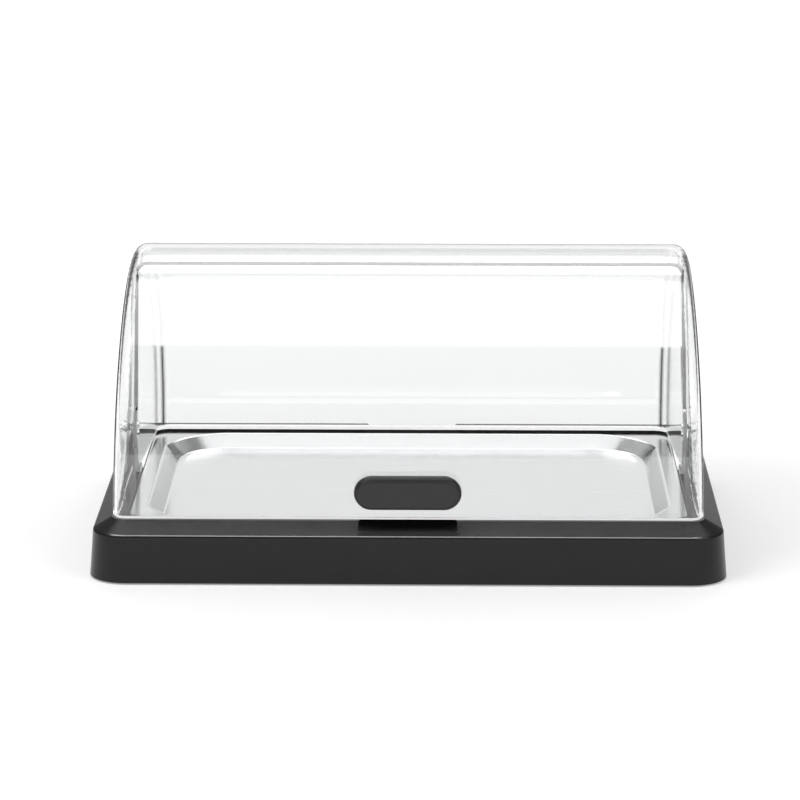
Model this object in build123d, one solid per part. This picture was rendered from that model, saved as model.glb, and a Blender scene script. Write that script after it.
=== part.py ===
from build123d import *
import math
import os

# Chilled counter-top display: insulated base, steel tray, two-shell roll-top cover.
# Millimetres. Origin at the centre of the resting plane, +X to the right, +Y to the rear, +Z up.

# Steel gastronorm tray
tray_length = 530.0
tray_depth = 325.0
tray_corner_radius = 15.0
tray_sheet = 1.0
recess_half_length = 250.0
recess_half_depth = 156.0
recess_side_straight = 106.0
recess_front_straight = 183.0
recess_corner_bulge = 15.0
recess_drop = 12.0
recess_wall_run = 14.0
recess_bend_radius = 3.0
recess_bend_steps = 3

# Moulded base
shoulder_length = 594.8
shoulder_depth = 393.8
shoulder_z = 46.4
shoulder_corner_radius = 32.0
skirt_draft = 4.64
skirt_bottom_z = 1.5
band_run = 18.3
band_rise = 10.8
crest_height_above_rim = 5.0
wall = 3.0
pocket_clearance = 1.0
ledge_width_side = 12.0
ledge_width_front = 4.0
well_corner_radius = 18.0
well_floor_z = 17.0
shoulder_softening = 3.0
crest_softening = 0.75
notch_length = 92.0
notch_floor_drop = 6.2
notch_inner_wall = 4.5
notch_corner_radius = 12.0
notch_floor_radius = 5.5

# Bottom plate, feet and screws
plate_recess = 1.5
plate_thickness = 3.0
plate_clearance = 0.5
plate_groove_width = 8.0
plate_groove_depth = 1.0
plate_groove_inset = 46.0
boss_radius = 5.0
boss_inset = 16.5
bottom_screw_radius = 1.9
bottom_screw_grip = 14.0
bottom_screw_head_radius = 3.6
bottom_screw_head_height = 1.4
bottom_screw_columns = 3
pilot_clearance = 0.05
foot_radius = 13.0
foot_edge_bevel = 1.2
foot_plug_radius = 4.0
foot_plug_flange = 5.2
foot_plug_flange_height = 1.2
foot_inset = 46.0
foam_clearance = 0.4

# Cooling packs
pack_thickness = 21.4
pack_clearance = 2.0
pack_skin = 1.6
pack_edge_bevel = 5.0
pack_corner_radius = 16.0
pack_dent_length = 60.0
pack_dent_width = 16.0
pack_dent_depth = 2.0
pack_dent_columns = 3
pack_dent_rows = 5
pack_dent_pitch_x = 74.0
pack_dent_pitch_y = 46.0
gel_clearance = 0.3
cap_radius = 11.0
cap_height = 4.0
cap_inset = 22.0
cap_clearance = 0.2
cap_slot_width = 2.5
cap_slot_depth = 1.5

# Roll-top cover
pivot_z = 100.0
front_shell_radius = 182.0
front_half_length_at_pivot = 276.8
front_side_draft = 0.0353
shell_wall = 3.5
shell_edge_radius = 13.0
shell_roof_gap = 1.0
side_gap = 1.0
rear_cone_slope = 0.0425
overlap_angle = 12.45
hub_radius = 22.0
lower_edge_clearance = 0.3
lower_edge_bevel = 2.0
post_half_width = 12.0
post_slot_clearance = 0.4

# Pivot hardware
pin_radius = 2.5
pin_hole_clearance = 0.06
pin_flange_radius = 5.5
pin_flange_height = 1.6
pivot_cap_radius = 3.8
pivot_cap_height = 5.0
pivot_cap_bevel = 1.0
pivot_cap_bore_depth = 3.4
pivot_cap_play = 0.2

# Handle on the front shell
handle_length = 100.5
handle_height = 32.5
handle_reach = 14.0
handle_cap_thickness = 7.0
handle_cap_edge = 5.0
handle_edge_steps = 4
handle_waist_inset = 3.6
handle_foot_inset = 1.8
handle_drop = 12.0
handle_seat_clearance = 0.05
handle_screw_spacing = 60.0
handle_screw_radius = 2.0
handle_screw_grip = 8.0
handle_screw_head_radius = 3.9
handle_screw_recess = 0.3

# Derived levels and half sizes
crest_z = shoulder_z + band_rise
rim_top_z = crest_z - crest_height_above_rim
ledge_z = rim_top_z - tray_sheet
half_x = shoulder_length / 2
half_y = shoulder_depth / 2
crest_half_x = half_x - band_run
crest_half_y = half_y - band_run
pocket_half_x = tray_length / 2 + pocket_clearance
pocket_half_y = tray_depth / 2 + pocket_clearance
well_half_x = pocket_half_x - ledge_width_side
well_half_y = pocket_half_y - ledge_width_front
skirt_spread = math.tan(math.radians(skirt_draft))
plate_bottom_z = skirt_bottom_z + plate_recess
plate_top_z = plate_bottom_z + plate_thickness
cavity_top_z = shoulder_z - wall
rear_shell_radius = front_shell_radius - shell_wall - shell_roof_gap
rear_half_length_at_pivot = front_half_length_at_pivot - shell_wall - side_gap


def rounded_plate(length, depth, radius, z):
    """Rounded rectangle face lying at height z."""
    return Pos(0, 0, z) * RectangleRounded(length, depth, radius)


def rounded_block(length, depth, radius, z_low, z_high):
    """Straight block with rounded vertical corners."""
    return extrude(rounded_plate(length, depth, radius, z_low), amount=z_high - z_low)


def skirt_block(inset, z_low, z_high):
    """Drafted block that follows the skirt, moved inwards by inset."""
    faces = []
    for z in (z_low, z_high):
        spread = (shoulder_z - z) * skirt_spread - inset
        radius = shoulder_corner_radius + spread
        faces.append(rounded_plate(shoulder_length + 2 * spread, shoulder_depth + 2 * spread, radius, z))
    return loft(faces, ruled=True)


def band_block():
    """Sloped band from the shoulder up to the crest."""
    low = rounded_plate(shoulder_length, shoulder_depth, shoulder_corner_radius, shoulder_z)
    high = rounded_plate(2 * crest_half_x, 2 * crest_half_y, shoulder_corner_radius - band_run, crest_z)
    return loft([low, high], ruled=True)


def level_edges(part, z, tolerance=0.01):
    """Edges that lie wholly at height z."""
    return [e for e in part.edges() if abs(e.bounding_box().min.Z - z) < tolerance
            and abs(e.bounding_box().max.Z - z) < tolerance]


def notch_cutter(side):
    """Finger notch under the cover's lower edge, at the front (-1) or the rear (1)."""
    inner_y = pocket_half_y + notch_inner_wall
    outer_y = half_y
    floor_z = crest_z - notch_floor_drop
    reach = outer_y - inner_y + notch_corner_radius
    block = Box(notch_length, reach, notch_floor_drop * 2,
                align=(Align.CENTER, Align.MIN, Align.MIN))
    vertical = block.edges().filter_by(Axis.Z).group_by(Axis.Y)[0]
    block = fillet(vertical, notch_corner_radius)
    floor = block.faces().sort_by(Axis.Z)[0]
    rim = [e for e in floor.edges() if e.center().Y < reach - notch_floor_radius / 2]
    block = fillet(rim, notch_floor_radius)
    block = Pos(0, inner_y, floor_z) * block
    return block if side > 0 else Rot(0, 0, 180) * block


def screw_places():
    """Bottom screw positions in the ring between skirt and well, front and rear."""
    x_span = 2 * (half_x - boss_inset)
    pitch = x_span / (bottom_screw_columns - 1)
    y = half_y - boss_inset
    places = []
    for column in range(bottom_screw_columns):
        corner_pull = boss_inset / 2 if column in (0, bottom_screw_columns - 1) else 0
        x = -x_span / 2 + column * pitch
        x -= math.copysign(corner_pull, x)
        places += [(x, y), (x, -y)]
    return places


def base_shell():
    """Moulded base: skirt, band, crest, tray pocket, cooling well and screw bosses."""
    body = skirt_block(0, skirt_bottom_z, shoulder_z) + band_block()
    body = fillet(level_edges(body, shoulder_z), shoulder_softening)
    body = fillet(level_edges(body, crest_z), crest_softening)
    well_outer = rounded_block(2 * (well_half_x + wall), 2 * (well_half_y + wall),
                               well_corner_radius + wall, well_floor_z - wall, cavity_top_z)
    cavity = skirt_block(wall, skirt_bottom_z, cavity_top_z) - well_outer
    for x, y in screw_places():
        cavity -= Pos(x, y, plate_top_z) * Cylinder(boss_radius, cavity_top_z, align=(Align.CENTER,
                                                    Align.CENTER, Align.MIN))
    body -= cavity
    body -= rounded_block(2 * pocket_half_x, 2 * pocket_half_y, tray_corner_radius + pocket_clearance,
                          ledge_z, crest_z + wall)
    body -= rounded_block(2 * well_half_x, 2 * well_half_y, well_corner_radius, well_floor_z, crest_z)
    for side in (-1, 1):
        body -= notch_cutter(side)
        body -= post_slot(side)
    for x, y in screw_places():
        pilot_depth = bottom_screw_grip + pilot_clearance
        body -= Pos(x, y, plate_top_z) * Cylinder(bottom_screw_radius + pilot_clearance, pilot_depth,
                                                  align=(Align.CENTER, Align.CENTER, Align.MIN))
    return body


def post_section(side, clearance):
    """Plan outline of a cover post's foot, widened by clearance away from the tray."""
    outer_x = rear_side_x(pivot_z - crest_z) + clearance
    inner_x = pocket_half_x if clearance == 0 else pocket_half_x - pocket_clearance
    width = 2 * (post_half_width + clearance)
    return Pos(side * (inner_x + outer_x) / 2, 0, 0) * Rectangle(outer_x - inner_x, width)


def post_slot(side):
    """Slot in the crest that takes a cover post's foot, open towards the tray."""
    return extrude(Pos(0, 0, ledge_z) * post_section(side, post_slot_clearance), amount=crest_z)


def foam():
    """Insulation that fills the base between skirt, well and bottom plate."""
    gap = foam_clearance
    block = skirt_block(wall + gap, plate_top_z, cavity_top_z - gap)
    block -= rounded_block(2 * (well_half_x + wall + gap), 2 * (well_half_y + wall + gap),
                           well_corner_radius + wall + gap, well_floor_z - wall - gap, shoulder_z)
    for x, y in screw_places():
        block -= Pos(x, y, 0) * Cylinder(boss_radius + gap, 2 * shoulder_z)
    for x, y in foot_places():
        block -= Pos(x, y, plate_top_z) * Cylinder(foot_plug_flange + gap,
                                                   2 * (foot_plug_flange_height + gap))
    return block


def foot_places():
    """Foot centres, front left first, then clockwise seen from above."""
    x = half_x - foot_inset
    y = half_y - foot_inset
    return [(-x, -y), (-x, y), (x, y), (x, -y)]


def bottom_plate():
    """Closing plate inside the skirt, with screw and foot holes and a stiffening groove."""
    gap = plate_clearance
    plate = skirt_block(wall + gap, plate_bottom_z, plate_top_z)
    groove_x = half_x - plate_groove_inset - foot_radius
    groove_y = half_y - plate_groove_inset - foot_radius
    outer = rounded_block(2 * groove_x, 2 * groove_y, shoulder_corner_radius, 0,
                          plate_bottom_z + plate_groove_depth)
    inner = rounded_block(2 * (groove_x - plate_groove_width), 2 * (groove_y - plate_groove_width),
                          shoulder_corner_radius - plate_groove_width, 0, plate_top_z)
    plate -= outer - inner
    for x, y in screw_places():
        plate -= Pos(x, y, plate_bottom_z) * Cylinder(bottom_screw_radius + pilot_clearance,
                                                      2 * plate_thickness + wall)
        plate -= Pos(x, y, plate_bottom_z) * Cylinder(bottom_screw_head_radius + plate_clearance,
                                                      2 * bottom_screw_head_height)
    for x, y in foot_places():
        plate -= Pos(x, y, plate_bottom_z) * Cylinder(foot_plug_radius + pilot_clearance,
                                                      2 * plate_thickness + wall)
    return plate


def turned(points):
    """Solid of revolution about Z from a half section in X and Z."""
    section = make_face(Polyline(*[(x, 0, z) for x, z in points], close=True))
    return revolve(section, Axis.Z)


def bottom_screw():
    """Pan head screw, head down, seated in the plate's counterbore."""
    seat_z = plate_bottom_z + bottom_screw_head_height
    tip_z = plate_top_z + bottom_screw_grip
    return turned([(0, plate_bottom_z), (bottom_screw_head_radius, plate_bottom_z),
                   (bottom_screw_head_radius, seat_z), (bottom_screw_radius, seat_z),
                   (bottom_screw_radius, tip_z), (0, tip_z)])


def foot():
    """Rubber foot with a plug that snaps through the bottom plate."""
    flange_top = plate_top_z + foot_plug_flange_height
    return turned([(0, 0), (foot_radius - foot_edge_bevel, 0), (foot_radius, foot_edge_bevel),
                   (foot_radius, plate_bottom_z), (foot_plug_radius, plate_bottom_z),
                   (foot_plug_radius, plate_top_z), (foot_plug_flange, plate_top_z),
                   (foot_plug_radius, flange_top), (0, flange_top)])


def pack_size():
    """Length and depth of one cooling pack, two side by side in the well."""
    return well_half_x - 1.5 * pack_clearance, 2 * (well_half_y - pack_clearance)


def pack_blank(inset, top_drop=0.0):
    """Pack body with bevelled edges, moved inwards by inset, standing on the well floor."""
    length, depth = pack_size()
    low_z = well_floor_z + inset
    high_z = well_floor_z + pack_thickness - inset - top_drop
    bevel = pack_edge_bevel - inset
    steps = [(bevel, low_z), (0, low_z + bevel), (0, high_z - bevel), (bevel, high_z)]
    plates = [rounded_plate(length - 2 * (inset + back), depth - 2 * (inset + back),
                            pack_corner_radius - inset - back, z) for back, z in steps]
    return loft(plates, ruled=True)


def cap_place():
    """Centre of the filler cap on a pack."""
    length, depth = pack_size()
    return length / 2 - cap_inset, depth / 2 - cap_inset


def pack_dents():
    """Rounded dents pressed in the pack's top."""
    top = well_floor_z + pack_thickness
    dent = extrude(SlotOverall(pack_dent_length, pack_dent_width), amount=2 * pack_dent_depth)
    dents = []
    for column in range(pack_dent_columns):
        for row in range(pack_dent_rows):
            x = (column - (pack_dent_columns - 1) / 2) * pack_dent_pitch_x
            y = (row - (pack_dent_rows - 1) / 2) * pack_dent_pitch_y
            dents.append(Pos(x, y, top - pack_dent_depth) * dent)
    return dents


def cooling_pack():
    """Hollow blow-moulded pack with dents and a well for its filler cap."""
    top = well_floor_z + pack_thickness
    body = pack_blank(0)
    for dent in pack_dents():
        body -= dent
    cap_x, cap_y = cap_place()
    body -= Pos(cap_x, cap_y, top) * Cylinder(cap_radius + cap_clearance, 2 * cap_height)
    return body - gel_space(0)


def gel_space(clearance):
    """Space for the fill, one skin below the dents and round the cap, less clearance."""
    skin = pack_skin + clearance
    space = pack_blank(skin, pack_dent_depth)
    cap_x, cap_y = cap_place()
    space -= Pos(cap_x, cap_y, well_floor_z + pack_thickness) * Cylinder(
        cap_radius + cap_clearance + skin, 2 * (cap_height + skin))
    return space


def pack_cap():
    """Filler cap with a coin slot, flush with the pack's top."""
    top = well_floor_z + pack_thickness
    cap_x, cap_y = cap_place()
    cap = Pos(cap_x, cap_y, top) * Cylinder(cap_radius, cap_height,
                                            align=(Align.CENTER, Align.CENTER, Align.MAX))
    slot = Pos(cap_x, cap_y, top) * Box(2 * cap_radius, cap_slot_width, 2 * cap_slot_depth)
    return cap - slot


def recess_outline(inset, z):
    """Outline of the stamped recess: straight sides joined by wide corner arcs."""
    x = recess_half_length - inset
    y = recess_half_depth - inset
    side = recess_side_straight - inset / 2
    front = recess_front_straight - inset / 2
    mid_x = (x + front) / 2
    mid_y = (y + side) / 2
    chord = math.hypot(x - front, y - side)
    push_x = recess_corner_bulge * (y - side) / chord
    push_y = recess_corner_bulge * (x - front) / chord
    edges = []
    for sx, sy in ((1, 1), (-1, 1), (-1, -1), (1, -1)):
        start = (sx * x, sy * side, z)
        middle = (sx * (mid_x + push_x), sy * (mid_y + push_y), z)
        end = (sx * front, sy * y, z)
        edges.append(ThreePointArc(start, middle, end))
    edges.append(Line((front, y, z), (-front, y, z)))
    edges.append(Line((-x, side, z), (-x, -side, z)))
    edges.append(Line((-front, -y, z), (front, -y, z)))
    edges.append(Line((x, -side, z), (x, side, z)))
    return make_face(edges)


def recess_steps(under):
    """Inset and height of each step down a face of the sheet: under is 0 on top, 1 underneath."""
    slope = math.atan2(recess_drop, recess_wall_run)
    half_turn = math.tan(slope / 2)
    shift = -under * tray_sheet * half_turn
    high_z = rim_top_z - under * tray_sheet
    high_radius = recess_bend_radius + (1 - under) * tray_sheet
    low_radius = recess_bend_radius + under * tray_sheet
    turns = [slope * step / recess_bend_steps for step in range(recess_bend_steps + 1)]
    steps = []
    for turn in turns:
        inset = shift + high_radius * (math.sin(turn) - half_turn)
        steps.append((inset, high_z - high_radius * (1 - math.cos(turn))))
    for turn in reversed(turns):
        inset = shift + recess_wall_run - low_radius * (math.sin(turn) - half_turn)
        steps.append((inset, high_z - recess_drop + low_radius * (1 - math.cos(turn))))
    return steps


def recess_block(under):
    """Block bounded by the recess's top face (0) or its underside (1)."""
    return loft([recess_outline(inset, z) for inset, z in recess_steps(under)], ruled=True)


def tray():
    """Stamped tray: flat rim, bent edges, sloped recess walls and a flat floor."""
    rim = rounded_block(tray_length, tray_depth, tray_corner_radius, ledge_z, rim_top_z)
    return rim + recess_block(1) - recess_block(0)


def rear_side_x(radius):
    """Outer half length of the rear shell's side at a distance from the pivot."""
    return rear_half_length_at_pivot - rear_cone_slope * radius


def rear_drum(inset):
    """Closed drum of the rear shell, moved inwards by inset."""
    radius = rear_shell_radius - inset
    hub_x = rear_side_x(0) - inset
    rim_x = rear_side_x(rear_shell_radius) - inset
    section = make_face(Polyline((-hub_x, 0), (-rim_x, radius), (rim_x, radius), (hub_x, 0), close=True))
    corners = section.vertices().filter_by_position(Axis.Y, radius - 1, radius + 1)
    section = fillet(corners, shell_edge_radius - inset)
    return Pos(0, 0, pivot_z) * revolve(section, Axis.X)


def front_drum(inset):
    """Closed drum of the front shell, with flat drafted sides, moved inwards by inset."""
    radius = front_shell_radius - inset
    top = pivot_z + front_shell_radius + shell_wall
    low = pivot_z - front_shell_radius - shell_wall

    def half_length(z):
        return front_half_length_at_pivot - inset - front_side_draft * (z - pivot_z)

    corners = [(-half_length(low), low), (half_length(low), low), (half_length(top), top),
               (-half_length(top), top)]
    section = make_face(Polyline(*[(x, 0, z) for x, z in corners], close=True))
    wedge = extrude(section, amount=2 * front_shell_radius, both=True)
    rod = Pos(0, 0, pivot_z) * Rot(0, 90, 0) * Cylinder(radius, 2 * shoulder_length)
    drum = wedge & rod
    rims = [e for e in drum.edges() if e.bounding_box().size.Y > radius]
    return fillet(rims, shell_edge_radius - inset)


def side_region(facing, lower_z):
    """Prism along X that keeps one shell's share of the drum; facing -1 is front, 1 is rear."""
    reach = 1.2 * front_shell_radius
    lean = math.radians(overlap_angle)
    outline = Polyline((0, 0, lower_z), (0, reach * facing, lower_z), (0, reach * facing, pivot_z + reach),
                       (0, -facing * reach * math.tan(lean), pivot_z + reach), (0, 0, pivot_z), close=True)
    region = extrude(make_face(outline), amount=shoulder_length, both=True)
    hub = Pos(0, 0, pivot_z) * Rot(0, 90, 0) * Cylinder(hub_radius, 2 * shoulder_length)
    return region + hub


def post_region():
    """Prism along X that keeps the posts below the pivot."""
    height = pivot_z - crest_z
    return Pos(0, 0, crest_z) * Box(2 * shoulder_length, 2 * post_half_width, height,
                                    align=(Align.CENTER, Align.CENTER, Align.MIN))


def side_place(side, x):
    """Place on the pivot axis at distance x, with local Z pointing outwards."""
    return Pos(side * x, 0, pivot_z) * Rot(0, side * 90, 0)


def pin_hole():
    """Running hole for both pivot pins."""
    return side_place(1, 0) * Cylinder(pin_radius + pin_hole_clearance, 2 * shoulder_length)


def lower_edge_bevel_cutter():
    """Ring that bevels the outer lower edge of the cover, all round."""
    low_z = crest_z + lower_edge_clearance
    high_z = low_z + lower_edge_bevel
    half_x_low = front_half_length_at_pivot + front_side_draft * (pivot_z - low_z)
    half_y_low = math.sqrt(front_shell_radius ** 2 - (pivot_z - low_z) ** 2)
    bevel = lower_edge_bevel
    keep = loft([rounded_plate(2 * (half_x_low - bevel), 2 * (half_y_low - bevel), shell_edge_radius - bevel,
                               low_z),
                 rounded_plate(2 * half_x_low, 2 * half_y_low, shell_edge_radius, high_z)], ruled=True)
    around = rounded_block(shoulder_length, shoulder_depth, shoulder_corner_radius, low_z, high_z)
    return around - keep


def rear_shell():
    """Fixed rear shell with conical sides and two posts that stand in the crest."""
    lower_z = crest_z + lower_edge_clearance
    shell = (rear_drum(0) - rear_drum(shell_wall)) & (side_region(1, lower_z) + post_region())
    for side in (-1, 1):
        shell += extrude(Pos(0, 0, ledge_z) * post_section(side, 0), amount=crest_z + wall - ledge_z)
    return shell - pin_hole()


def front_shell():
    """Rolling front shell with flat drafted sides, a bevelled lower edge and handle holes."""
    lower_z = crest_z + lower_edge_clearance
    shell = (front_drum(0) - front_drum(shell_wall)) & side_region(-1, lower_z)
    shell -= lower_edge_bevel_cutter()
    shell -= pin_hole()
    for place in handle_screw_places():
        shell -= place * Cylinder(handle_screw_radius + pilot_clearance, 4 * shell_wall)
        shell -= place * handle_screw_sink(pilot_clearance)
    return shell


def pivot_cap_seat():
    """Half distance between the inner faces of the two pivot caps."""
    return front_half_length_at_pivot + front_side_draft * pivot_cap_radius + pivot_cap_play


def pivot_pin(side):
    """Clear pin: flange inside the rear shell, shank through both shells into the cap."""
    flange_x = rear_side_x(pin_flange_radius) - shell_wall
    length = pivot_cap_seat() + pivot_cap_bore_depth - flange_x
    section = [(0, -pin_flange_height), (pin_flange_radius, -pin_flange_height), (pin_flange_radius, 0),
               (pin_radius, 0), (pin_radius, length), (0, length)]
    return side_place(side, flange_x) * turned(section)


def pivot_cap(side):
    """Dark push-on cap that holds the front shell on the pin."""
    bore = pin_radius + pin_hole_clearance
    depth = pivot_cap_bore_depth + pin_hole_clearance
    top, radius, bevel = pivot_cap_height, pivot_cap_radius, pivot_cap_bevel
    section = [(bore, 0), (radius, 0), (radius, top - bevel), (radius - bevel, top), (0, top), (0, depth),
               (bore, depth)]
    return side_place(side, pivot_cap_seat()) * turned(section)


def handle_frame():
    """Place on the front shell's outside where the handle stands, local Z outwards."""
    lean = math.degrees(math.asin(handle_drop / front_shell_radius))
    return Pos(0, 0, pivot_z) * Rot(lean, 0, 0) * Pos(0, -front_shell_radius, 0) * Rot(90, 0, 0)


def handle_screw_places():
    """Places of the two handle screws, local Z outwards."""
    return [handle_frame() * Pos(s * handle_screw_spacing / 2, 0, 0) for s in (-1, 1)]


def pill(inset, z):
    """Pill outline of the handle at a height above the shell."""
    return Pos(0, 0, z) * SlotOverall(handle_length - 2 * inset, handle_height - 2 * inset)


def handle():
    """Pill-shaped pull: waisted foot and a pillow-edged cap."""
    cap_z = handle_reach - handle_cap_thickness
    waist = [pill(handle_foot_inset, -handle_foot_inset), pill(handle_waist_inset, cap_z / 2),
             pill(handle_foot_inset, cap_z)]
    rounding = [pill(0, cap_z), pill(0, handle_reach - handle_cap_edge)]
    for step in range(1, handle_edge_steps + 1):
        turn = math.radians(90 * step / handle_edge_steps)
        inset = handle_cap_edge * (1 - math.cos(turn))
        rounding.append(pill(inset, handle_reach - handle_cap_edge * (1 - math.sin(turn))))
    body = handle_frame() * (loft(waist, ruled=True) + loft(rounding, ruled=True))
    body -= side_place(1, 0) * Cylinder(front_shell_radius + handle_seat_clearance, shoulder_length)
    for place in handle_screw_places():
        body -= place * Cylinder(handle_screw_radius + pilot_clearance,
                                 2 * (handle_screw_grip + pilot_clearance))
    return body


def handle_screw_section(extra):
    """Height and radius of the countersunk head's two ends, widened by extra."""
    low = -shell_wall + handle_screw_recess
    rise = handle_screw_head_radius - handle_screw_radius
    return low, low + rise, handle_screw_head_radius + extra, handle_screw_radius + extra


def handle_screw_sink(extra):
    """Countersink for a handle screw, open to the inside of the front shell."""
    low, high, wide, narrow = handle_screw_section(extra)
    return turned([(0, -2 * shell_wall), (wide, -2 * shell_wall), (wide, low), (narrow, high), (0, high)])


def handle_screw(place):
    """Countersunk screw from inside the front shell into the handle."""
    low, high, wide, narrow = handle_screw_section(0)
    return place * turned([(0, low), (wide, low), (narrow, high), (narrow, handle_screw_grip),
                           (0, handle_screw_grip)])


def write(name, shape):
    """Write one node's solids to its own file."""
    shape.label = name
    export_step(shape, f"parts/{name}.step")


def main():
    os.makedirs("parts", exist_ok=True)
    write("base_shell", base_shell())
    write("insulation_foam", foam())
    write("bottom_plate", bottom_plate())
    write("bottom_screws", Compound(children=[Pos(x, y, 0) * bottom_screw() for x, y in screw_places()]))
    foot_names = ("foot_front_left", "foot_rear_left", "foot_rear_right", "foot_front_right")
    for name, (x, y) in zip(foot_names, foot_places()):
        write(name, Pos(x, y, 0) * foot())
    write("tray", tray())
    pack_x = (pack_size()[0] + pack_clearance) / 2
    for name, side in (("left", -1), ("right", 1)):
        write(f"cooling_pack_{name}", Pos(side * pack_x, 0, 0) * cooling_pack())
        write(f"cooling_gel_{name}", Pos(side * pack_x, 0, 0) * gel_space(gel_clearance))
        write(f"pack_cap_{name}", Pos(side * pack_x, 0, 0) * pack_cap())
        write(f"pivot_pin_{name}", pivot_pin(side))
        write(f"pivot_cap_{name}", pivot_cap(side))
    write("rear_shell", rear_shell())
    write("front_shell", front_shell())
    write("handle", handle())
    write("handle_screws", Compound(children=[handle_screw(p) for p in handle_screw_places()]))


main()
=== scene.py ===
import bmesh
import bpy
import math
from mathutils import Matrix, Vector


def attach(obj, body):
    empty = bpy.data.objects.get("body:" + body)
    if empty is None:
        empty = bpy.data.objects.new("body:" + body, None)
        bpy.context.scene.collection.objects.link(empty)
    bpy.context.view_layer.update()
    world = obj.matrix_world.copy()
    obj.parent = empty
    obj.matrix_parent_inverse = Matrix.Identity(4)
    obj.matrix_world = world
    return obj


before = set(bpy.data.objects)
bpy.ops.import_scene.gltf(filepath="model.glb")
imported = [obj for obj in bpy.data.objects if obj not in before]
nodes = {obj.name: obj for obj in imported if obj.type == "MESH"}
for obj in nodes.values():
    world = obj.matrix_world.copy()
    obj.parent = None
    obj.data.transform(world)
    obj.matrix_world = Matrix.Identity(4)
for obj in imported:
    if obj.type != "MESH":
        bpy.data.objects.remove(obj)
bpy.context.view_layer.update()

# Camera fitted to the photograph: degrees, metres, and the focal length in pixels of an 800 pixel frame
IMAGE_PX = 800
FOCAL_PX = 3385.3
SENSOR_MM = 36.0
CAMERA_ELEVATION = 14.41
CAMERA_YAW = 0.81
CAMERA_DISTANCE = 3.3392
CAMERA_SIDE = -0.00987
CAMERA_RISE = 0.02748
AIM = Vector((0, 0, 0.100))

# Lamps: name, place and aim in metres, width and height in metres, power in watts
LAMPS = (
    ("key", (-1.2, -1.0, 1.8), AIM, (1.2, 1.2), 16.0),
    ("fill", (1.4, -1.2, 1.2), AIM, (1.4, 1.0), 7.0),
    ("back", (0.0, 1.4, 1.6), AIM, (1.8, 0.8), 9.0),
)
STRIP_LAMP = ("strip", (-0.2, -0.85, 2.2), (0, -0.2, 0.05), (3.2, 0.9), 190.0)
WORLD_LEVEL = 0.62

# Studio seen in gloss and through the cover: white backdrop, overhead panel and grey flags elsewhere.
# Angles in degrees, measured over the top from the horizon on the camera's side; half widths are the
# sideways share of a direction.
BACKDROP_TOP = 133.0
BACKDROP_HALF_WIDTH = 0.28
SIDE_BLUR = 0.04
PANEL_FROM = 66.5
PANEL_TO = 119.6
PANEL_BLUR = 1.5
PANEL_HALF_WIDTH = 0.42
PANEL_LEVEL = 1.5
FLAG_LEVEL = 0.12

# White floor, metres: its extra brightness to the eye near the object and far from it, and the half
# width past which mirrors see a flag instead of it
FLOOR_SIZE = 12.0
FLOOR_CENTRE = (0, 2.5, -0.0002)
FLOOR_LIFT_NEAR = 0.30
FLOOR_LIFT_FAR = 0.62
FLOOR_NEAR = 0.5
FLOOR_FAR = 2.4
TABLE_HALF_WIDTH = 0.75

# Cover: clear sheet, and the colours of its polished and sawn edges, the dark one a painted shade
CLEAR_TINT = (0.975, 0.98, 0.98)
CLEAR_IOR = 1.5
CUT_PALE = (0.85, 0.86, 0.86)
CUT_PAINTED_SHADE = (0.02, 0.02, 0.02)

# Rear shell: lean in degrees of its straight cut over the pivot, and where its edges turn to painted shade
PIVOT = Vector((0, 0, 0.100))
OVERLAP_ANGLE = 12.45
CUT_TOLERANCE = 0.0003
CUT_FACING = 0.98
CUT_PALE_Z = 0.250
CUT_DARK_Z = 0.262
POST_X = 0.255
POST_FACING = 0.5

# Rear shell's bent corner: sideways share of the normal in its middle and at its ends, colour of the
# painted shade laid on it, and the height above which the painted shade is weaker
CORNER_TILT = 0.60
CORNER_SPREAD = 0.42
CORNER_PAINTED_SHADE = (0, 0, 0)
CORNER_FADE_Z = 0.145
CORNER_FADE_RUN = 0.004
CORNER_FADE = 0.25

# Rear shell's foot lip, metres: outline of the tray pocket, the flange's own outline and the section
CREST_Z = 0.0572
POCKET_HALF_X = 0.266
POCKET_HALF_Y = 0.1635
POCKET_CORNER = 0.016
LIP_START_Y = 0.013
LIP_CORNER_STEPS = 10
LIP_GAP = 0.0001
LIP_WALL = 0.0007
FLANGE_HALF_X = 0.2670
FLANGE_HALF_Y = 0.1687
FLANGE_CORNER = 0.019
FLANGE_TOP_Z = 0.0577
LIP_LOW_Z = 0.0548
LIP_TOP_Z = 0.0583
# Painted glow of the lip, which stands in for light gathered in the clear plastic
LIP_PAINTED_GLOW = 0.7

# Front shell: lower rim, metres, made opaque with a painted glow so that it looks white
RIM_LOW_Z = 0.0575
RIM_TOP_Z = 0.0605
RIM_FADE = 0.0005
RIM_PAINTED_GLOW = 0.8

# Base: gloss, and its finger notches, metres: gloss taken off inside as painted shade, with the edges about
# them shaded as rounded
BASE_GLOSS = 0.30
NOTCH_BLEND = 0.009
BEVEL_SAMPLES = 6
NOTCH_HALF_X = 0.0465
NOTCH_INNER_Y = 0.164
NOTCH_LOW_Z = 0.0505
NOTCH_TOP_Z = 0.0568

# Plain plastics: name, colour, roughness and the CAD nodes that carry them
PLAIN_PLASTICS = (
    ("plate_plastic", (0.02, 0.02, 0.021), 0.6, ("bottom_plate",)),
    ("foot_rubber", (0.022, 0.022, 0.022), 0.75,
     ("foot_front_left", "foot_front_right", "foot_rear_left", "foot_rear_right")),
    ("pack_blue", (0.07, 0.21, 0.50), 0.35, ("cooling_pack_left", "cooling_pack_right")),
    ("frozen_gel", (0.42, 0.60, 0.78), 0.4, ("cooling_gel_left", "cooling_gel_right")),
    ("cap_plastic", (0.72, 0.74, 0.76), 0.4, ("pack_cap_left", "pack_cap_right")),
    ("handle_plastic", (0.020, 0.020, 0.0205), 0.42, ("handle",)),
    ("pivot_cap_plastic", (0.02, 0.02, 0.02), 0.3, ("pivot_cap_left", "pivot_cap_right")),
)
PLASTIC_SPREAD = 0.15


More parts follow.
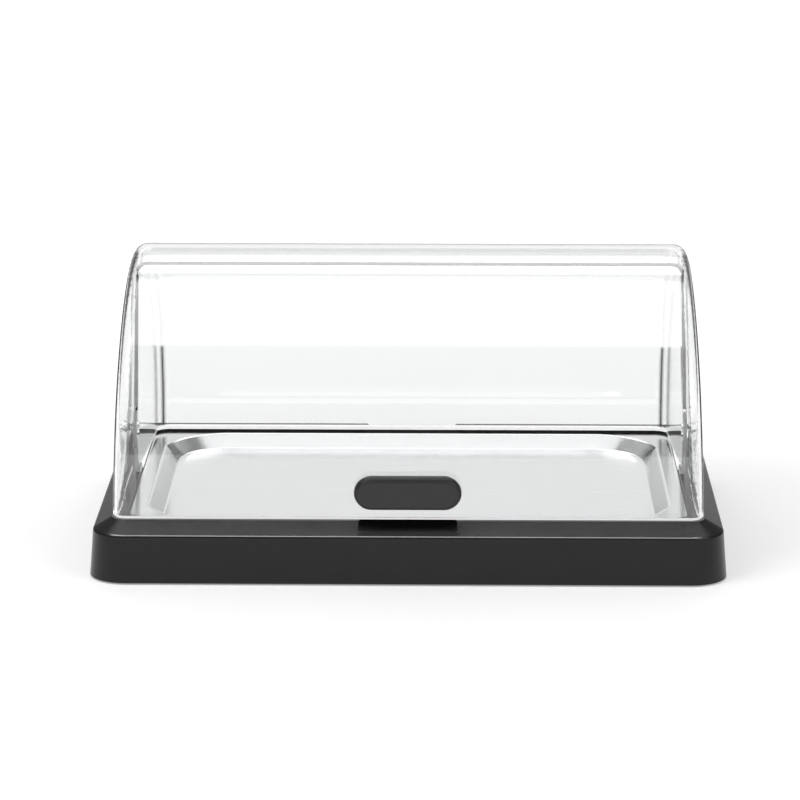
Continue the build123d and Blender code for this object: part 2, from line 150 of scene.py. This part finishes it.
def feed(tree, value, socket):
    """Links an output to an input socket, or sets the input to a plain value."""
    if isinstance(value, bpy.types.NodeSocket):
        tree.links.new(value, socket)
    else:
        socket.default_value = value


def add_node(tree, kind, **values):
    """Adds a shader node and feeds its input sockets by name."""
    node = tree.nodes.new(kind)
    for name, value in values.items():
        feed(tree, value, node.inputs[name.replace("_", " ")])
    return node


def link_math(tree, operation, *values):
    """Math node fed by sockets or plain values; returns its output."""
    node = tree.nodes.new("ShaderNodeMath")
    node.operation = operation
    for socket, value in zip(node.inputs, values):
        feed(tree, value, socket)
    return node.outputs[0]


def product(tree, first, *others):
    """Product of sockets."""
    for other in others:
        first = link_math(tree, "MULTIPLY", first, other)
    return first


def size_of(tree, value):
    """A value without its sign."""
    return link_math(tree, "ABSOLUTE", value)


def ramp(tree, value, start, end, low=0.0, high=1.0):
    """Maps a value from start..end to low..high with soft ends."""
    node = add_node(tree, "ShaderNodeMapRange", Value=value, From_Min=start, From_Max=end, To_Min=low,
                    To_Max=high)
    node.interpolation_type = "SMOOTHSTEP"
    return node.outputs[0]


def mixed(tree, kind, share, first, second):
    """Mix of two colours (RGBA) or two vectors (VECTOR) by a share."""
    node = tree.nodes.new("ShaderNodeMix")
    node.data_type = kind
    for name, value in (("Factor", share), ("A", first), ("B", second)):
        feed(tree, value, node.inputs[name])
    return node.outputs["Result"]


def split_xyz(tree, vector):
    """X, Y and Z of a vector socket."""
    return add_node(tree, "ShaderNodeSeparateXYZ", Vector=vector).outputs


def own_place(tree):
    """X, Y and Z in the piece's own coordinates, so that the look moves with it."""
    return split_xyz(tree, tree.nodes.new("ShaderNodeTexCoord").outputs["Object"])


def own_noise(tree, scale, detail, stretch):
    """Noise in the piece's own coordinates, 0 to 1."""
    where = tree.nodes.new("ShaderNodeTexCoord").outputs["Object"]
    fit = add_node(tree, "ShaderNodeMapping", Vector=where, Scale=stretch)
    return add_node(tree, "ShaderNodeTexNoise", Vector=fit.outputs[0], Scale=scale,
                    Detail=detail).outputs["Fac"]


def surface(name, color, roughness, specular=0.5, metallic=0.0):
    """Principled material; colour and roughness are set plainly and may be varied afterwards."""
    material = bpy.data.materials.new(name)
    material.use_nodes = True
    tree = material.node_tree
    tree.nodes.clear()
    shader = add_node(tree, "ShaderNodeBsdfPrincipled", Base_Color=(*color, 1), Roughness=roughness,
                      Specular_IOR_Level=specular, Metallic=metallic)
    add_node(tree, "ShaderNodeOutputMaterial", Surface=shader.outputs[0])
    return material, tree, shader


def vary(tree, shader, socket, scale, low, high, detail=2.0, stretch=(1, 1, 1)):
    """Drives a value or a colour from noise between low and high."""
    fraction = add_node(tree, "ShaderNodeMapRange", Value=own_noise(tree, scale, detail, stretch))
    if socket == "Base Color":
        value = mixed(tree, "RGBA", fraction.outputs[0], (*low, 1), (*high, 1))
    else:
        feed(tree, low, fraction.inputs["To Min"])
        feed(tree, high, fraction.inputs["To Max"])
        value = fraction.outputs[0]
    tree.links.new(value, shader.inputs[socket])


def grain(tree, shader, scale, strength, distance, detail=3.0, stretch=(1, 1, 1), normal=None):
    """Fine bump from noise, over the plain normal or a given one."""
    bump = add_node(tree, "ShaderNodeBump", Strength=strength, Distance=distance,
                    Height=own_noise(tree, scale, detail, stretch))
    if normal:
        tree.links.new(normal, bump.inputs["Normal"])
    tree.links.new(bump.outputs[0], shader.inputs["Normal"])


def soft_normal(tree, share):
    """Normal that is rounded near the edges where share is 1."""
    rounded = add_node(tree, "ShaderNodeBevel", Radius=NOTCH_BLEND)
    rounded.samples = BEVEL_SAMPLES
    plain = tree.nodes.new("ShaderNodeNewGeometry").outputs["Normal"]
    return mixed(tree, "VECTOR", share, plain, rounded.outputs[0])


def base_plastic():
    """Black moulded plastic with a fine satin grain, and soft-edged finger notches whose gloss is taken off
    as painted shade.
    """
    material, tree, shader = surface("black_moulding", (0.005, 0.005, 0.0052), 0.24, BASE_GLOSS)
    vary(tree, shader, "Base Color", scale=40, low=(0.004, 0.004, 0.0042), high=(0.006, 0.006, 0.0062))
    vary(tree, shader, "Roughness", scale=120, low=0.21, high=0.27)
    place = own_place(tree)
    middle = link_math(tree, "LESS_THAN", size_of(tree, place["X"]), NOTCH_HALF_X)
    outer = link_math(tree, "GREATER_THAN", size_of(tree, place["Y"]), NOTCH_INNER_Y)
    above = link_math(tree, "GREATER_THAN", place["Z"], NOTCH_LOW_Z)
    below = link_math(tree, "LESS_THAN", place["Z"], NOTCH_TOP_Z)
    about = product(tree, middle, above)
    grain(tree, shader, scale=1800, strength=0.20, distance=0.00004, normal=soft_normal(tree, about))
    # Painted shade: the notches lose their gloss so they read dark.
    notch = product(tree, about, outer, below)
    tree.links.new(ramp(tree, notch, 0.0, 1.0, BASE_GLOSS, 0.0), shader.inputs["Specular IOR Level"])
    return material


def plain_plastic(name, color, roughness):
    """Moulded plastic with slight tone and gloss changes."""
    material, tree, shader = surface(name, color, roughness)
    low = tuple(c * (1 - PLASTIC_SPREAD) for c in color)
    vary(tree, shader, "Base Color", scale=60, low=low, high=color)
    vary(tree, shader, "Roughness", scale=150, low=roughness * 0.85, high=roughness * 1.1)
    grain(tree, shader, scale=1500, strength=0.15, distance=0.00004)
    return material


def foam_material():
    """Rigid insulating foam with visible cells."""
    material, tree, shader = surface("foam", (0.78, 0.72, 0.52), 0.9, specular=0.2)
    vary(tree, shader, "Base Color", scale=300, low=(0.68, 0.61, 0.42), high=(0.82, 0.77, 0.58), detail=4.0)
    grain(tree, shader, scale=900, strength=0.6, distance=0.0004, detail=5.0)
    return material


def tray_steel():
    """Stainless sheet with a fine satin grain along its length."""
    material, tree, shader = surface("satin_steel", (0.80, 0.805, 0.81), 0.17, metallic=1.0)
    vary(tree, shader, "Base Color", scale=30, low=(0.76, 0.765, 0.77), high=(0.84, 0.845, 0.85),
         detail=3.0, stretch=(1, 6, 6))
    vary(tree, shader, "Roughness", scale=25, low=0.14, high=0.20, detail=4.0, stretch=(1, 14, 14))
    grain(tree, shader, scale=500, strength=0.06, distance=0.00002, stretch=(0.04, 1, 1))
    return material


def hardware_steel():
    """Plain turned steel."""
    material, tree, shader = surface("plain_steel", (0.58, 0.58, 0.59), 0.32, metallic=1.0)
    vary(tree, shader, "Base Color", scale=400, low=(0.50, 0.50, 0.51), high=(0.62, 0.62, 0.63), detail=3.0)
    vary(tree, shader, "Roughness", scale=300, low=0.25, high=0.4)
    return material


def clear_plastic(name):
    """Clear polycarbonate: refracts and reflects."""
    material, tree, shader = surface(name, CLEAR_TINT, 0.0)
    shader.inputs["IOR"].default_value = CLEAR_IOR
    shader.inputs["Transmission Weight"].default_value = 1.0
    return material, tree, shader


def shaded_corner_plastic():
    """Clear polycarbonate with a black painted shade on the bent corner, weaker higher up."""
    material, tree, shader = clear_plastic("clear_with_painted_corner_shade")
    geometry = tree.nodes.new("ShaderNodeNewGeometry").outputs
    tilt = size_of(tree, split_xyz(tree, geometry["True Normal"])["X"])
    rise = ramp(tree, tilt, CORNER_TILT - CORNER_SPREAD, CORNER_TILT)
    fall = ramp(tree, tilt, CORNER_TILT, CORNER_TILT + CORNER_SPREAD, 1.0, 0.0)
    outside = link_math(tree, "SUBTRACT", 1.0, geometry["Backfacing"])
    shade_fade_by_height = ramp(tree, own_place(tree)["Z"], CORNER_FADE_Z - CORNER_FADE_RUN, CORNER_FADE_Z,
                 1.0, CORNER_FADE)
    # Painted shade: the bent corner's colour goes to black, less so higher up.
    shade_amount = product(tree, rise, fall, outside, shade_fade_by_height)
    color = mixed(tree, "RGBA", shade_amount, (*CLEAR_TINT, 1), (*CORNER_PAINTED_SHADE, 1))
    tree.links.new(color, shader.inputs["Base Color"])
    return material


def rimmed_plastic():
    """Clear polycarbonate whose lower rim is made opaque and given a painted glow, so it looks white."""
    material, tree, shader = clear_plastic("clear_rimmed")
    height = own_place(tree)["Z"]
    # Painted light: the rim turns opaque and pale, and glows though it is no lamp.
    clear = ramp(tree, height, RIM_TOP_Z - RIM_FADE, RIM_TOP_Z)
    tree.links.new(clear, shader.inputs["Transmission Weight"])
    shader.inputs["Emission Color"].default_value = (1, 1, 1, 1)
    glow = ramp(tree, height, RIM_LOW_Z, RIM_TOP_Z, RIM_PAINTED_GLOW, 0.0)
    tree.links.new(glow, shader.inputs["Emission Strength"])
    return material


def lip_with_painted_glow():
    """Pale plastic with a painted glow, standing in for clear plastic that looks white where seen through
    its own thickness.
    """
    material, tree, shader = surface("lip_with_painted_glow", (0.88, 0.89, 0.89), 0.25)
    vary(tree, shader, "Base Color", scale=60, low=(0.82, 0.83, 0.83), high=(0.92, 0.93, 0.93))
    vary(tree, shader, "Roughness", scale=150, low=0.18, high=0.30)
    # Painted glow: the lip emits light though it is no lamp.
    shader.inputs["Emission Color"].default_value = (1, 1, 1, 1)
    shader.inputs["Emission Strength"].default_value = LIP_PAINTED_GLOW
    return material


def cut_edge():
    """Sawn edge of the clear sheet: pale on the sides, with a painted shade that darkens it along the roof.
    """
    material, tree, shader = surface("cut_edge", (0.7, 0.7, 0.7), 0.35)
    # Painted shade: the edge turns black towards the roof.
    roof = ramp(tree, own_place(tree)["Z"], CUT_PALE_Z, CUT_DARK_Z)
    color = mixed(tree, "RGBA", roof, (*CUT_PALE, 1), (*CUT_PAINTED_SHADE, 1))
    tree.links.new(color, shader.inputs["Base Color"])
    vary(tree, shader, "Roughness", scale=200, low=0.28, high=0.42)
    return material


def add_cut_edges(node, material):
    """Gives a shell's straight cut over the pivot and its posts' front faces their own finish: pale, with a
    painted shade along the roof.
    """
    mesh = node.data
    mesh.materials.append(material)
    lean = math.radians(OVERLAP_ANGLE)
    across = Vector((0, -math.cos(lean), -math.sin(lean)))
    for face in mesh.polygons:
        place = node.matrix_world @ face.center
        on_cut = abs((place - PIVOT).dot(across)) < CUT_TOLERANCE
        on_post = abs(place.x) > POST_X and place.y < 0 and face.normal.y < -POST_FACING
        if on_post or (on_cut and abs(face.normal.dot(across)) > CUT_FACING):
            face.material_index = len(mesh.materials) - 1


def set_material(material, *names):
    """Puts one material on CAD nodes."""
    for name in names:
        mesh = nodes[name].data
        mesh.materials.clear()
        mesh.materials.append(material)


def dress_nodes():
    """Gives every CAD node its finish."""
    for name, color, roughness, carriers in PLAIN_PLASTICS:
        set_material(plain_plastic(name, color, roughness), *carriers)
    set_material(base_plastic(), "base_shell")
    set_material(foam_material(), "insulation_foam")
    set_material(hardware_steel(), "bottom_screws", "handle_screws")
    set_material(tray_steel(), "tray")
    set_material(clear_plastic("clear_polycarbonate")[0], "pivot_pin_left", "pivot_pin_right")
    set_material(rimmed_plastic(), "front_shell")
    set_material(shaded_corner_plastic(), "rear_shell")
    add_cut_edges(nodes["rear_shell"], cut_edge())


def lip_outline(x, y, radius):
    """Plan line of the lip from post to post, for half sizes x and y and a corner radius."""
    points = [(-x, LIP_START_Y)]
    for side, first in ((-1, 180.0), (1, 90.0)):
        for step in range(LIP_CORNER_STEPS + 1):
            turn = math.radians(first - 90.0 * step / LIP_CORNER_STEPS)
            points.append((side * (x - radius) + radius * math.cos(turn),
                           y - radius + radius * math.sin(turn)))
    points.append((x, LIP_START_Y))
    return points


def pocket_inset(inset):
    """Half sizes and corner radius of the tray pocket's outline, drawn in by an inset."""
    return POCKET_HALF_X - inset, POCKET_HALF_Y - inset, POCKET_CORNER - inset


def lip_section():
    """The lip's section as plan outlines with heights: a thin wall in the pocket, a flange on the crest."""
    inner, outer = pocket_inset(LIP_GAP + LIP_WALL), pocket_inset(LIP_GAP)
    flange = FLANGE_HALF_X, FLANGE_HALF_Y, FLANGE_CORNER
    rest = CREST_Z + LIP_GAP
    return ((inner, LIP_LOW_Z), (outer, LIP_LOW_Z), (outer, rest), (flange, rest),
            (flange, FLANGE_TOP_Z), (outer, FLANGE_TOP_Z), (outer, LIP_TOP_Z), (inner, LIP_TOP_Z))


def add_lip():
    """Lip under the rear shell's foot that hangs into the pocket and locates the cover, pale and with a
    painted glow.
    """
    form = bmesh.new()
    rings = [[form.verts.new((x, y, z)) for x, y in lip_outline(*sizes)] for sizes, z in lip_section()]
    for ring, following in zip(rings, rings[1:] + rings[:1]):
        for a, b, c, d in zip(ring, ring[1:], following[1:], following):
            form.faces.new((a, b, c, d))
    form.faces.new([ring[0] for ring in rings])
    form.faces.new([ring[-1] for ring in reversed(rings)])
    bmesh.ops.recalc_face_normals(form, faces=form.faces)
    mesh = bpy.data.meshes.new("rear_foot_lip")
    form.to_mesh(mesh)
    form.free()
    lip = bpy.data.objects.new("rear_foot_lip", mesh)
    bpy.context.scene.collection.objects.link(lip)
    mesh.materials.append(lip_with_painted_glow())
    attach(lip, "rear_cover")


def seen_rays(tree):
    """1 for camera, glossy and transmission rays, 0 for rays that only gather light; and the ray's kinds."""
    kinds = tree.nodes.new("ShaderNodeLightPath").outputs
    direct = link_math(tree, "MAXIMUM", kinds["Is Camera Ray"], kinds["Is Glossy Ray"])
    return link_math(tree, "MAXIMUM", direct, kinds["Is Transmission Ray"]), kinds


def add_floor():
    """Pale floor that shows white to the camera and keeps the object's shadow."""
    bpy.ops.mesh.primitive_plane_add(size=FLOOR_SIZE, location=FLOOR_CENTRE)
    floor = bpy.context.object
    floor.name = "floor"
    material, tree, shader = surface("floor", (0.80, 0.80, 0.80), 0.9, specular=0.0)
    seen, kinds = seen_rays(tree)
    place = tree.nodes.new("ShaderNodeNewGeometry").outputs["Position"]
    away = tree.nodes.new("ShaderNodeVectorMath")
    away.operation = "LENGTH"
    tree.links.new(place, away.inputs[0])
    lift = ramp(tree, away.outputs["Value"], FLOOR_NEAR, FLOOR_FAR, FLOOR_LIFT_NEAR, FLOOR_LIFT_FAR)
    shader.inputs["Emission Color"].default_value = (1, 1, 1, 1)
    tree.links.new(product(tree, seen, lift), shader.inputs["Emission Strength"])
    beyond = link_math(tree, "GREATER_THAN", size_of(tree, split_xyz(tree, place)["X"]), TABLE_HALF_WIDTH)
    bounced = link_math(tree, "SUBTRACT", 1.0, kinds["Is Transmission Ray"])
    flagged = product(tree, beyond, kinds["Is Glossy Ray"], bounced)
    flag = add_node(tree, "ShaderNodeEmission", Strength=FLAG_LEVEL)
    mix = tree.nodes.new("ShaderNodeMixShader")
    for socket, value in zip(mix.inputs, (flagged, shader.outputs[0], flag.outputs[0])):
        tree.links.new(value, socket)
    output = next(n for n in tree.nodes if n.type == "OUTPUT_MATERIAL")
    tree.links.new(mix.outputs[0], output.inputs[0])
    floor.data.materials.append(material)


def over_the_top(tree, direction):
    """Angle of a direction over the top, in degrees, from the horizon on the camera's side."""
    parts = split_xyz(tree, direction)
    forward = link_math(tree, "MULTIPLY", parts["Y"], -1.0)
    return link_math(tree, "DEGREES", link_math(tree, "ARCTAN2", parts["Z"], forward))


def sideways(tree, direction, half_width):
    """1 for directions near the middle plane, fading to 0 about half_width."""
    side = size_of(tree, split_xyz(tree, direction)["X"])
    return ramp(tree, side, half_width - SIDE_BLUR, half_width + SIDE_BLUR, 1.0, 0.0)


def backdrop(tree, direction):
    """1 for directions on the backdrop behind the object."""
    height = ramp(tree, over_the_top(tree, direction), BACKDROP_TOP - PANEL_BLUR, BACKDROP_TOP + PANEL_BLUR)
    return product(tree, height, sideways(tree, direction, BACKDROP_HALF_WIDTH))


def overhead_panel(tree, direction):
    """1 for directions on the long panel that hangs over the object."""
    angle = over_the_top(tree, direction)
    start = ramp(tree, angle, PANEL_FROM - PANEL_BLUR, PANEL_FROM + PANEL_BLUR)
    end = ramp(tree, angle, PANEL_TO - PANEL_BLUR, PANEL_TO + PANEL_BLUR, 1.0, 0.0)
    return product(tree, start, end, sideways(tree, direction, PANEL_HALF_WIDTH))


def add_world():
    """White to the camera; backdrop, overhead panel and flags in gloss; a plain level as light."""
    world = bpy.data.worlds.new("studio")
    world.use_nodes = True
    tree = world.node_tree
    tree.nodes.clear()
    direction = tree.nodes.new("ShaderNodeTexCoord").outputs["Generated"]
    panel = link_math(tree, "MULTIPLY", overhead_panel(tree, direction), PANEL_LEVEL)
    level = link_math(tree, "MAXIMUM", backdrop(tree, direction), panel)
    level = link_math(tree, "MAXIMUM", level, FLAG_LEVEL)
    seen, kinds = seen_rays(tree)
    to_white = product(tree, link_math(tree, "SUBTRACT", 1.0, level), kinds["Is Camera Ray"])
    shown = add_node(tree, "ShaderNodeBackground", Color=(1, 1, 1, 1),
                     Strength=link_math(tree, "ADD", level, to_white))
    light = add_node(tree, "ShaderNodeBackground", Color=(1, 1, 1, 1), Strength=WORLD_LEVEL)
    mix = tree.nodes.new("ShaderNodeMixShader")
    for socket, value in zip(mix.inputs, (seen, light.outputs[0], shown.outputs[0])):
        tree.links.new(value, socket)
    add_node(tree, "ShaderNodeOutputWorld", Surface=mix.outputs[0])
    bpy.context.scene.world = world


def add_camera():
    """Camera at the photograph's viewing angle."""
    rise, yaw = math.radians(CAMERA_ELEVATION), math.radians(CAMERA_YAW)
    back = Vector((math.sin(yaw) * math.cos(rise), -math.cos(yaw) * math.cos(rise), math.sin(rise)))
    right = (-back).cross(Vector((0, 0, 1))).normalized()
    up = right.cross(-back)
    data = bpy.data.cameras.new("camera")
    data.sensor_width = SENSOR_MM
    data.lens = FOCAL_PX / IMAGE_PX * SENSOR_MM
    camera = bpy.data.objects.new("camera", data)
    place = AIM + right * CAMERA_SIDE + up * CAMERA_RISE + back * CAMERA_DISTANCE
    turn = Matrix((right, up, back)).transposed().to_4x4()
    camera.matrix_world = Matrix.Translation(place) @ turn
    bpy.context.scene.collection.objects.link(camera)
    bpy.context.scene.camera = camera


def add_lamp(name, place, aim, size, power):
    """Soft rectangular lamp."""
    data = bpy.data.lights.new(name, "AREA")
    data.shape = "RECTANGLE"
    data.size, data.size_y = size
    data.energy = power
    lamp = bpy.data.objects.new(name, data)
    lamp.location = place
    lamp.rotation_euler = (Vector(aim) - Vector(place)).to_track_quat("-Z", "Y").to_euler()
    bpy.context.scene.collection.objects.link(lamp)
    return lamp


def light_only(lamp, *names):
    """Lets a lamp reach the named CAD nodes only."""
    lit = bpy.data.collections.new(f"{lamp.name}_lit")
    for name in names:
        lit.objects.link(nodes[name])
    lamp.light_linking.receiver_collection = lit


add_camera()
dress_nodes()
add_lip()
add_world()
add_floor()
for lamp in LAMPS:
    add_lamp(*lamp)
light_only(add_lamp(*STRIP_LAMP), "base_shell")
bpy.context.scene.view_settings.view_transform = "Standard"
